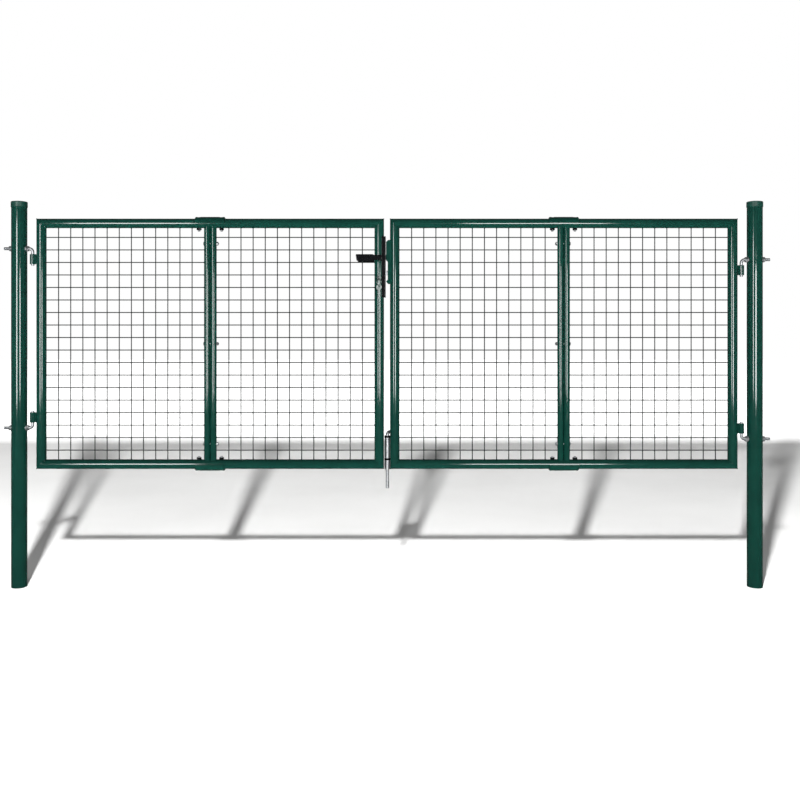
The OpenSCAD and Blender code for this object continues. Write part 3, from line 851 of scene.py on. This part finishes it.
print("lock")
case = boxBetween((caseBackX, caseBox[0].y, caseBox[0].z), (frontX, caseBox[1].y, caseBox[1].z))
bevelSharp(case, lockMake["edge"])
wall = lockMake["wall"] * mm
innerHalfWidth = lockMake["innerWidth"] / 2 * mm
roomLow = caseBox[0].z + lockMake["endWall"] * mm
roomHigh = caseBox[1].z - lockMake["endWall"] * mm
carve(  # room for the bolts to move in
    case,
    boxBetween((caseBackX + wall, caseBox[0].y + wall, roomLow),
               (frontX + wall, caseBox[1].y - wall, roomHigh)),
    boxBetween((caseBackX - wall, wall - innerHalfWidth, roomLow),
               (frontX, innerHalfWidth - wall, roomHigh)),
)
put(case, boxBetween((caseBox[0].x, -innerHalfWidth, caseBox[0].z),
                     (caseBackX, innerHalfWidth, caseBox[1].z)))
finishPiece("lock_case_box", case, black, ["lock_case"])

slotRoom = Vector((10, lockMake["slotRoom"], lockMake["slotRoom"])) * mm
plate = boxBetween(*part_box("lock_faceplate"))
bevelSharp(plate, lockMake["plateEdge"])
carve(plate, *[boxBetween(low(n) - slotRoom, high(n) + slotRoom) for n in ("latch_bolt", "dead_bolt")])
screwZ = [caseBox[1].z - lockMake["screwFromEnd"] * mm, caseBox[0].z + lockMake["screwFromEnd"] * mm]
screwHole = lockMake["screwAcross"] / 2
for z in screwZ:
    hole = lathe([(0, -5), (screwHole, -5), (screwHole, 5), (0, 5)], 28, isOpen=True)
    carve(plate, place(hole, at(frontX, 0, z) @ alongX))
finishPiece("lock_faceplate_slotted", plate, black, ["lock_faceplate"])

screws = bmesh.new()
headRadius = screwHole - lockMake["screwFit"]
head = lockMake["screwHead"]
edge = lockMake["screwEdge"]
socket = lockMake["socketAcross"] / 2
floorZ = lockMake["socketFloor"]
shank = lockMake["screwShank"]
endZ = -lockMake["screwLength"]
screw = lathe([
    (0, floorZ), (socket, floorZ), (socket, head - 0.2), (headRadius - edge, head),
    (headRadius, head - edge), (headRadius, 0), (shank, -head), (shank, endZ), (0, endZ),
], 24, isOpen=True)
for vert in screw.verts:  # the socket is drawn in to six flats
    r = math.hypot(vert.co.x, vert.co.y) / mm
    if abs(r - socket) < 0.01 and vert.co.z > 0:
        angle = math.degrees(math.atan2(vert.co.y, vert.co.x)) % 60 - 30
        share = math.cos(math.radians(30)) / math.cos(math.radians(angle))
        vert.co.x *= share
        vert.co.y *= share
for z in screwZ:
    put(screws, screw, at(frontX, 0, z) @ alongX)
finishPiece("lock_screws_socket", screws, zinc, ["lock_screws"])

latchSpan = size("latch_bolt") / mm
nose = latchSpan.x
half = latchSpan.y / 2
latch = prism([
    (0, -half), (nose - lockMake["latchNose"], -half), (nose, 0), (nose, half), (0, half),
], latchSpan.z)
bevelSharp(latch, lockMake["latchEdge"])
place(latch, at(low("latch_bolt").x, 0, middle("latch_bolt").z))
finishPiece("latch_bolt_sprung", latch, black, ["latch_bolt"])

dead = boxBetween(*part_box("dead_bolt"))
bevelSharp(dead, lockMake["deadEdge"], segments=3)
finishPiece("dead_bolt_bar", dead, zinc, ["dead_bolt"])

spindleAt = middle("spindle")
square = block(lockMake["spindle"], size("spindle").y / mm, lockMake["spindle"])
bevelSharp(square, lockMake["spindleEdge"], segments=1)
place(square, at(*spindleAt))
hubHalf = lockMake["hubHalf"]
hub = lathe(chamfered(0, lockMake["hub"], -hubHalf, hubHalf, lockMake["hubEdge"]), 32, isOpen=True)
put(square, hub, at(spindleAt.x, 0, spindleAt.z) @ alongFront)
finishPiece("spindle_square", square, zinc, ["spindle"])


print("levers")
leverMake = {
    "collar": 11, "collarLength": 7, "collarEdge": 1.6, "neck": 8, "hub": 11, "grip": 12, "full": 13,
    "narrow": 9.6, "shoulder": (22, 27), "slant": 3, "endCorner": 4, "edge": 5.4, "edgeSteps": 6,
}


# a bar with a blunt, slanted end, narrower where it meets its round neck and collar
def makeLever(face):
    node = "front_lever" if face < 0 else "rear_lever"
    lowCorner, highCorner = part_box(node)
    nearY = min(abs(lowCorner.y), abs(highCorner.y)) / mm
    farY = max(abs(lowCorner.y), abs(highCorner.y)) / mm
    full = leverMake["full"]
    narrow = leverMake["narrow"]
    length = (highCorner.x - lowCorner.x) / mm - full
    collar = leverMake["collar"]
    collarY = nearY + leverMake["collarLength"]
    edge = leverMake["collarEdge"]
    neck = leverMake["neck"]
    body = lathe([
        (0, nearY), (collar, nearY), (collar, collarY - edge), (collar - 0.3 * edge, collarY - 0.3 * edge),
        (collar - edge, collarY), (neck + 0.8, collarY + 0.2), (neck, collarY + 1.2),
        (neck, farY - 3), (0, farY - 3),
    ], 40, isOpen=True)
    c = leverMake["endCorner"]
    slant = leverMake["slant"]
    inner, outer = leverMake["shoulder"]
    outline = arc(0, 0, leverMake["hub"], -60, 60, 12)
    outline += [(-inner, narrow), (-outer, full)]
    outline += arc(-length + c, full - c, c, 90, 175, 5)
    outline += arc(-length + slant + c, -full + c, c, 185, 270, 5)
    outline += [(-outer, -full), (-inner, -narrow)]
    grip = prism(outline, leverMake["grip"])
    bevelSharp(grip, leverMake["edge"], angle=60, segments=leverMake["edgeSteps"])
    put(body, grip, at(0, 0, (farY - leverMake["grip"] / 2) * mm))
    facing = asMade if face < 0 else Matrix.Scale(-1, 4, (0, 1, 0))
    place(body, at(spindleAt.x, 0, spindleAt.z) @ facing @ alongFront)
    finishPiece(node + "_moulded", body, black, [node], smoothAngle=40)


makeLever(-1)
makeLever(1)


print("cylinder and keys")
cylinderMake = {
    "bore": 6.58, "round": 8.5, "legTop": 6.9, "legWidth": 10, "legDrop": 24.5, "legRound": 6.25,
    "edge": 0.4, "plug": 6.5, "segments": 48, "plugSegments": 40,
}
keyMake = {
    "thick": 2.2, "hole": 4.5, "blade": 8.4, "bladeFit": 0.2, "keyway": 2.4, "depth": 23, "edge": 0.35,
    "bowTurn": 55, "shoulder": 1.6, "neck": 2, "cutPitch": 4.2, "groove": 1, "grooveDepth": 0.4,
    "holeOff": 5, "spareBow": 11, "ringWire": 1.8,
    "cuts": (1.2, 2.2, 0.8, 1.8), "spareCuts": (1.6, 0.7, 2.3, 1.2, 1.9, 0.9),
}
cylinderHalf = size("lock_cylinder").y / mm / 2
keyAxis = Vector((middle("key_plug").x, 0, middle("key_plug").z))
edge = cylinderMake["edge"]
cylinder = lathe(chamfered(cylinderMake["bore"], cylinderMake["round"], -cylinderHalf, cylinderHalf, edge),
                 cylinderMake["segments"])
legHalf = cylinderMake["legWidth"] / 2
legTop = -cylinderMake["legTop"]
legDrop = -cylinderMake["legDrop"]
legRound = cylinderMake["legRound"]
leg = prism([(-legHalf, legTop), (-legHalf, legDrop + 2.5)]
            + arc(0, legDrop + legRound, legRound, 217, 323, 8)
            + [(legHalf, legDrop + 2.5), (legHalf, legTop)], 2 * cylinderHalf)
bevelSharp(leg, edge, angle=60)
put(cylinder, leg)
place(cylinder, at(*keyAxis) @ alongFront)
finishPiece("lock_cylinder_profile", cylinder, nickel, ["lock_cylinder"])

plugHalf = size("key_plug").y / mm / 2
plug = lathe(chamfered(0, cylinderMake["plug"], -plugHalf, plugHalf, edge),
             cylinderMake["plugSegments"], isOpen=True)
for end in (-1, 1):
    way = block(keyMake["keyway"], keyMake["blade"], 2 * keyMake["depth"])
    carve(plug, place(way, at(0, 0, end * plugHalf * mm)))
place(plug, at(*keyAxis) @ alongFront)
finishPiece("key_plug_slotted", plug, nickel, ["key_plug"])


# a flat key along -Y of its own outline: a bow with a hole, a shoulder and a cut blade
def makeKey(bow, holeUp, bladeEnd, bladeHalf, cuts):
    step = bladeHalf + keyMake["shoulder"]
    neck = -bow - keyMake["neck"]
    outline = arc(0, 0, bow, -keyMake["bowTurn"], 180 + keyMake["bowTurn"], 40)
    outline += [(-step, -bow + 0.3), (-step, neck), (-bladeHalf, neck), (-bladeHalf, bladeEnd + 3),
                (-bladeHalf + 2.6, bladeEnd), (0.6, bladeEnd)]
    y = bladeEnd + 2
    for depth in cuts:  # the cuts rise from the tip
        outline += [(bladeHalf - depth, y), (bladeHalf - depth, y + 1.4), (bladeHalf - depth * 0.2, y + 3)]
        y += keyMake["cutPitch"]
    outline += [(bladeHalf, y), (bladeHalf, neck), (step, neck), (step, -bow + 0.3)]
    bm = prism(outline, keyMake["thick"])
    through = 2 * keyMake["thick"]
    hole = lathe([
        (0, -through), (keyMake["hole"], -through), (keyMake["hole"], through), (0, through),
    ], 28, isOpen=True)
    carve(bm, place(hole, at(0, holeUp * mm, 0)))
    grooveStart = -bow - 4
    grooveEnd = bladeEnd + 4
    groove = block(keyMake["groove"], grooveStart - grooveEnd, 2 * keyMake["grooveDepth"])
    carve(bm, place(groove, at(
        -bladeHalf * 0.35 * mm, (grooveStart + grooveEnd) / 2 * mm, keyMake["thick"] / 2 * mm)))
    bevelSharp(bm, keyMake["edge"], angle=50, segments=1)
    return bm


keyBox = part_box("key")
bow = (keyBox[1].z - keyBox[0].z) / mm / 2
bowY = keyBox[0].y + bow * mm
tipY = (keyBox[1].y - bowY) / mm
# its own -Y goes to +Y of the gate and its flat side faces X
upright = Matrix(((0, 0, 1, 0), (0, -1, 0, 0), (1, 0, 0, 0), (0, 0, 0, 1)))
lockKey = makeKey(bow, keyMake["holeOff"], -tipY, keyMake["blade"] / 2 - keyMake["bladeFit"], keyMake["cuts"])
place(lockKey, at(keyAxis.x, bowY, keyAxis.z) @ upright)
finishPiece("key_in_lock", lockKey, nickel, ["key"])

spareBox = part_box("spare_key")
spareBow = keyMake["spareBow"]
spareZ = spareBox[1].z - spareBow * mm
ringHang = keyMake["hole"] - keyMake["ringWire"]  # from a hole's middle to the wire that lies in it
spareHole = (low("key_ring").z - spareZ) / mm + keyMake["ringWire"] / 2 - ringHang
spareEnd = (spareBox[0].z - spareZ) / mm
spare = makeKey(spareBow, spareHole, spareEnd, keyMake["blade"] / 2, keyMake["spareCuts"])
place(spare, at(keyAxis.x, middle("spare_key").y, spareZ) @ alongFront)
finishPiece("spare_key_hanging", spare, nickel, ["spare_key"])

# half of the split ring's round section, as shares of the wire's radius
coilOutline = ((-0.95, 0.04), (0.95, 0.04), (0.78, 0.55), (0.4, 0.88), (-0.4, 0.88), (-0.78, 0.55))
wireRadius = keyMake["ringWire"] / 2
ringRadius = size("key_ring").z / mm / 2 - wireRadius
splitRing = bmesh.new()
for face in (-1, 1):  # two coils that lie on each other
    coil = lathe([
        (ringRadius + wireRadius * out, face * wireRadius * up) for out, up in coilOutline
    ], 64)
    put(splitRing, coil)
place(splitRing, at(*middle("key_ring")) @ turn(45, "Z") @ alongFront)
finishPiece("key_ring_split", splitRing, nickel, ["key_ring"])


print("keeper")
keeperMake = {
    "wall": 3, "corner": 8, "notch": 6.4, "notchBelowLatch": 12, "notchEnd": 10, "edge": 0.8,
    "boltRoom": 0.6, "back": 26, "reach": 8,  # back and reach: from the gate's middle
}
keeperX = low("keeper").x / mm
keeperLow = low("keeper").z / mm
keeperHigh = high("keeper").z / mm
keeperDepth = size("keeper").y / mm
notch = keeperMake["notch"]
notchHigh = middle("latch_bolt").z / mm - keeperMake["notchBelowLatch"]
notchLow = keeperLow + keeperMake["notchEnd"]


def keeperOutline(shift):
    c = keeperMake["corner"]
    x = keeperX + shift
    back = keeperMake["back"] + shift
    return [
        (back, keeperHigh), (x + c, keeperHigh), (x, keeperHigh - c), (x, notchHigh),
        (x + notch, notchHigh - notch), (x + notch, notchLow + notch), (x, notchLow),
        (x + c, keeperLow), (back, keeperLow),
    ]


# outlines drawn in X and Z stand up by a quarter turn
keeper = place(prism(keeperOutline(0), keeperDepth), alongFront)
bevelSharp(keeper, keeperMake["edge"], angle=30)
hollow = place(prism(keeperOutline(keeperMake["wall"]), keeperDepth - 2 * keeperMake["wall"]), alongFront)
holes = []
room = Vector((0, keeperMake["boltRoom"], keeperMake["boltRoom"])) * mm
for node in ("latch_bolt", "dead_bolt"):
    lowCorner = low(node) - room
    highCorner = high(node) + room
    lowCorner.x = (keeperX - keeperMake["wall"]) * mm
    highCorner.x = keeperMake["reach"] * mm
    holes.append(boxBetween(lowCorner, highCorner))
carve(keeper, hollow, *holes)
finishPiece("keeper_box", keeper, green, ["keeper"])


print("drop bolt")
boltMake = {
    "bore": 7.1, "rim": 0.6, "grooves": (22, 67, 112), "groove": 2.4, "grooveDepth": 0.5, "grooveEdge": 0.4,
    "ring": 12, "ringFit": 0.05, "ringEdge": 0.5, "ringHeight": 8, "armWidth": 6, "armEdge": 0.6,
    "sunk": 0.5, "bead": 1.2, "beads": 9, "beadStep": 0.8, "segments": 44,
    "tip": ((4.25, 0), (5.6, 0.8), (6.25, 2.4)), "step": ((6.25, -0.4), (6.6, 0), (7, 0.5)),
    "stepBelow": 4, "bendAbove": 1, "bend": 13, "bendSteps": 10, "grip": 32, "point": 3,
}
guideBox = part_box("bolt_guide")
guideAt = middle("bolt_guide")
guideRadius = size("bolt_guide").x / mm / 2
guideLength = size("bolt_guide").z / mm
rim = boltMake["rim"]
bore = boltMake["bore"]
outline = [(bore, rim), (bore + rim, 0), (guideRadius - rim, 0), (guideRadius, rim)]
for z in boltMake["grooves"]:
    g = boltMake["groove"] / 2
    inset = guideRadius - boltMake["grooveDepth"]
    lip = g + boltMake["grooveEdge"]
    outline += [(guideRadius, z - lip), (inset, z - g), (inset, z + g), (guideRadius, z + lip)]
outline += [(guideRadius, guideLength - rim), (guideRadius - rim, guideLength), (bore + rim, guideLength),
            (bore, guideLength - rim)]
guide = place(lathe(outline, boltMake["segments"]), at(guideAt.x, guideAt.y, guideBox[0].z))
finishPiece("bolt_guide_tube", guide, zinc, ["bolt_guide"])

# a ring round the guide at each end, on an arm that is welded to the stile
stileSpot = middle("right_latch_stile")
toStile = Vector((stileSpot.x - guideAt.x, -guideAt.y, 0))
aim = turn(math.degrees(math.atan2(toStile.y, toStile.x)), "Z")
armEnd = toStile.length / mm - tubeRadius + boltMake["sunk"]
armStart = boltMake["ring"] - 0.8
height = boltMake["ringHeight"]
bandRing = lathe(chamfered(guideRadius + boltMake["ringFit"], boltMake["ring"], 0, height,
                           boltMake["ringEdge"]), boltMake["segments"])
arm = block(armEnd - armStart, boltMake["armWidth"], height)
bevelSharp(arm, boltMake["armEdge"])
brackets = bmesh.new()
for bottom in (low("bolt_brackets").z, high("bolt_brackets").z - height * mm):
    spot = at(guideAt.x, guideAt.y, bottom)
    put(brackets, bandRing, spot)
    put(brackets, arm, spot @ aim @ at((armEnd + armStart) / 2 * mm, 0, height / 2 * mm))
    for face in (-1, 1):
        weld = weldBead([
            (armEnd - 0.6, face * boltMake["armWidth"] / 2, (i + 1) * boltMake["beadStep"])
            for i in range(boltMake["beads"])
        ], boltMake["bead"])
        put(brackets, weld, spot @ aim)
finishPiece("bolt_brackets_welded", brackets, black, ["bolt_brackets"])

rodLow = low("drop_bolt").z / mm
bendZ = guideBox[1].z / mm + boltMake["bendAbove"]
stepZ = guideBox[0].z / mm - boltMake["stepBelow"]
outline = [(0, rodLow)] + [(r, rodLow + z) for r, z in boltMake["tip"]]
outline += [(r, stepZ + z) for r, z in boltMake["step"]] + [(boltMake["step"][-1][0], bendZ)]
rod = bentRod(outline, 36, boltMake["bend"], boltMake["bendSteps"], boltMake["grip"], boltMake["point"])
place(rod, at(guideAt.x, guideAt.y, 0) @ turn(45, "Z"))
finishPiece("drop_bolt_rod", rod, zinc, ["drop_bolt"])


print("floor and lights")
stageMake = {
    "floorSpan": 40, "nearGlow": 0.04, "farGlow": 1.0, "fadeBehind": (4.0, 4.7), "fadeAround": (6, 9),
    "worldDim": 0.09, "lampSpot": (-0.4, -3.88, 2.87), "lampPower": 98, "lampRadius": 0.12,
}
ground = bmesh.new()
bmesh.ops.create_grid(ground, x_segments=1, y_segments=1, size=stageMake["floorSpan"] / 2)
floorMesh = bpy.data.meshes.new("studio_floor")
ground.to_mesh(floorMesh)
floor = addObject("studio_floor", floorMesh)
floor.visible_glossy = False

# painted studio floor: matt and nearly white, brighter with distance so that it has no horizon
floorPaint, tree, shader, spot = startMaterial("matt_floor_paint")
apart = addNode(tree, "ShaderNodeVectorMath", {0: spot}, operation="LENGTH").outputs["Value"]
behind = addNode(tree, "ShaderNodeSeparateXYZ", {"Vector": spot}).outputs["Y"]
glows = [
    addNode(tree, "ShaderNodeMapRange", {
        "Value": value, "From Min": near, "From Max": far,
        "To Min": stageMake["nearGlow"], "To Max": stageMake["farGlow"],
    }).outputs["Result"]
    for value, (near, far) in ((behind, stageMake["fadeBehind"]), (apart, stageMake["fadeAround"]))
]
fade = addNode(tree, "ShaderNodeMath", {0: glows[0], 1: glows[1]}, operation="MAXIMUM").outputs["Value"]
tree.links.new(mixTones(tree, spot, 900, "#dfdfde", "#e6e6e5"), shader.inputs["Base Color"])
shader.inputs["Roughness"].default_value = 0.9
shader.inputs["Emission Color"].default_value = (1, 1, 1, 1)
tree.links.new(fade, shader.inputs["Emission Strength"])
floorMesh.materials.append(floorPaint)

world = bpy.data.worlds.new("studio")
world.use_nodes = True
tree = world.node_tree
back = tree.nodes["Background"]
rays = addNode(tree, "ShaderNodeLightPath")
glow = addNode(tree, "ShaderNodeMapRange", {
    "Value": rays.outputs["Is Camera Ray"], "To Min": stageMake["worldDim"], "To Max": 1,
})
tree.links.new(glow.outputs["Result"], back.inputs["Strength"])
back.inputs["Color"].default_value = (1, 1, 1, 1)
bpy.context.scene.world = world


# soft lamps that face the gate: two whose reflections run down the tubes, and a wide one that
# is not reflected; radiance is the same for every lamp of one brightness
softboxMake = {
    "left_softbox": {"spot": (-2.3, -4.2, 1.13), "aim": (0, 4.2, 0), "span": (1.1, 1.55), "radiance": 19},
    "right_softbox": {"spot": (1.2, -3.9, 0.95), "aim": (0, 3.9, 0), "span": (1.2, 1.1), "radiance": 19},
    "front_fill": {"spot": (0.3, -4.5, 2.4), "aim": (-0.3, 4.5, -1.4), "span": (3, 1.5), "radiance": 0.45},
}
for name, make in softboxMake.items():
    light = bpy.data.lights.new(name, "AREA")
    light.shape = "RECTANGLE"
    light.size, light.size_y = make["span"]
    light.energy = make["radiance"] * math.pi * light.size * light.size_y
    box = addObject(name, light)
    box.location = make["spot"]
    box.rotation_euler = Vector(make["aim"]).to_track_quat("-Z", "Y").to_euler()
    box.visible_glossy = name != "front_fill"

# the lamp that throws the gate's shadow back over the floor, as bright far off as near by
lamp = bpy.data.lights.new("shadow_lamp", "POINT")
lamp.energy = stageMake["lampPower"]
lamp.use_nodes = True
tree = lamp.node_tree
even = addNode(tree, "ShaderNodeLightFalloff", {"Strength": 1}).outputs["Constant"]
tree.links.new(even, tree.nodes["Emission"].inputs["Strength"])
lamp.shadow_soft_size = stageMake["lampRadius"]
lampHolder = addObject("shadow_lamp", lamp)
lampHolder.location = stageMake["lampSpot"]
lampHolder.visible_glossy = False
onFloor = bpy.data.collections.new("lit_by_shadow_lamp")
onFloor.objects.link(floor)
lampHolder.light_linking.receiver_collection = onFloor

bpy.context.scene.view_settings.view_transform = "Standard"

print("finish")
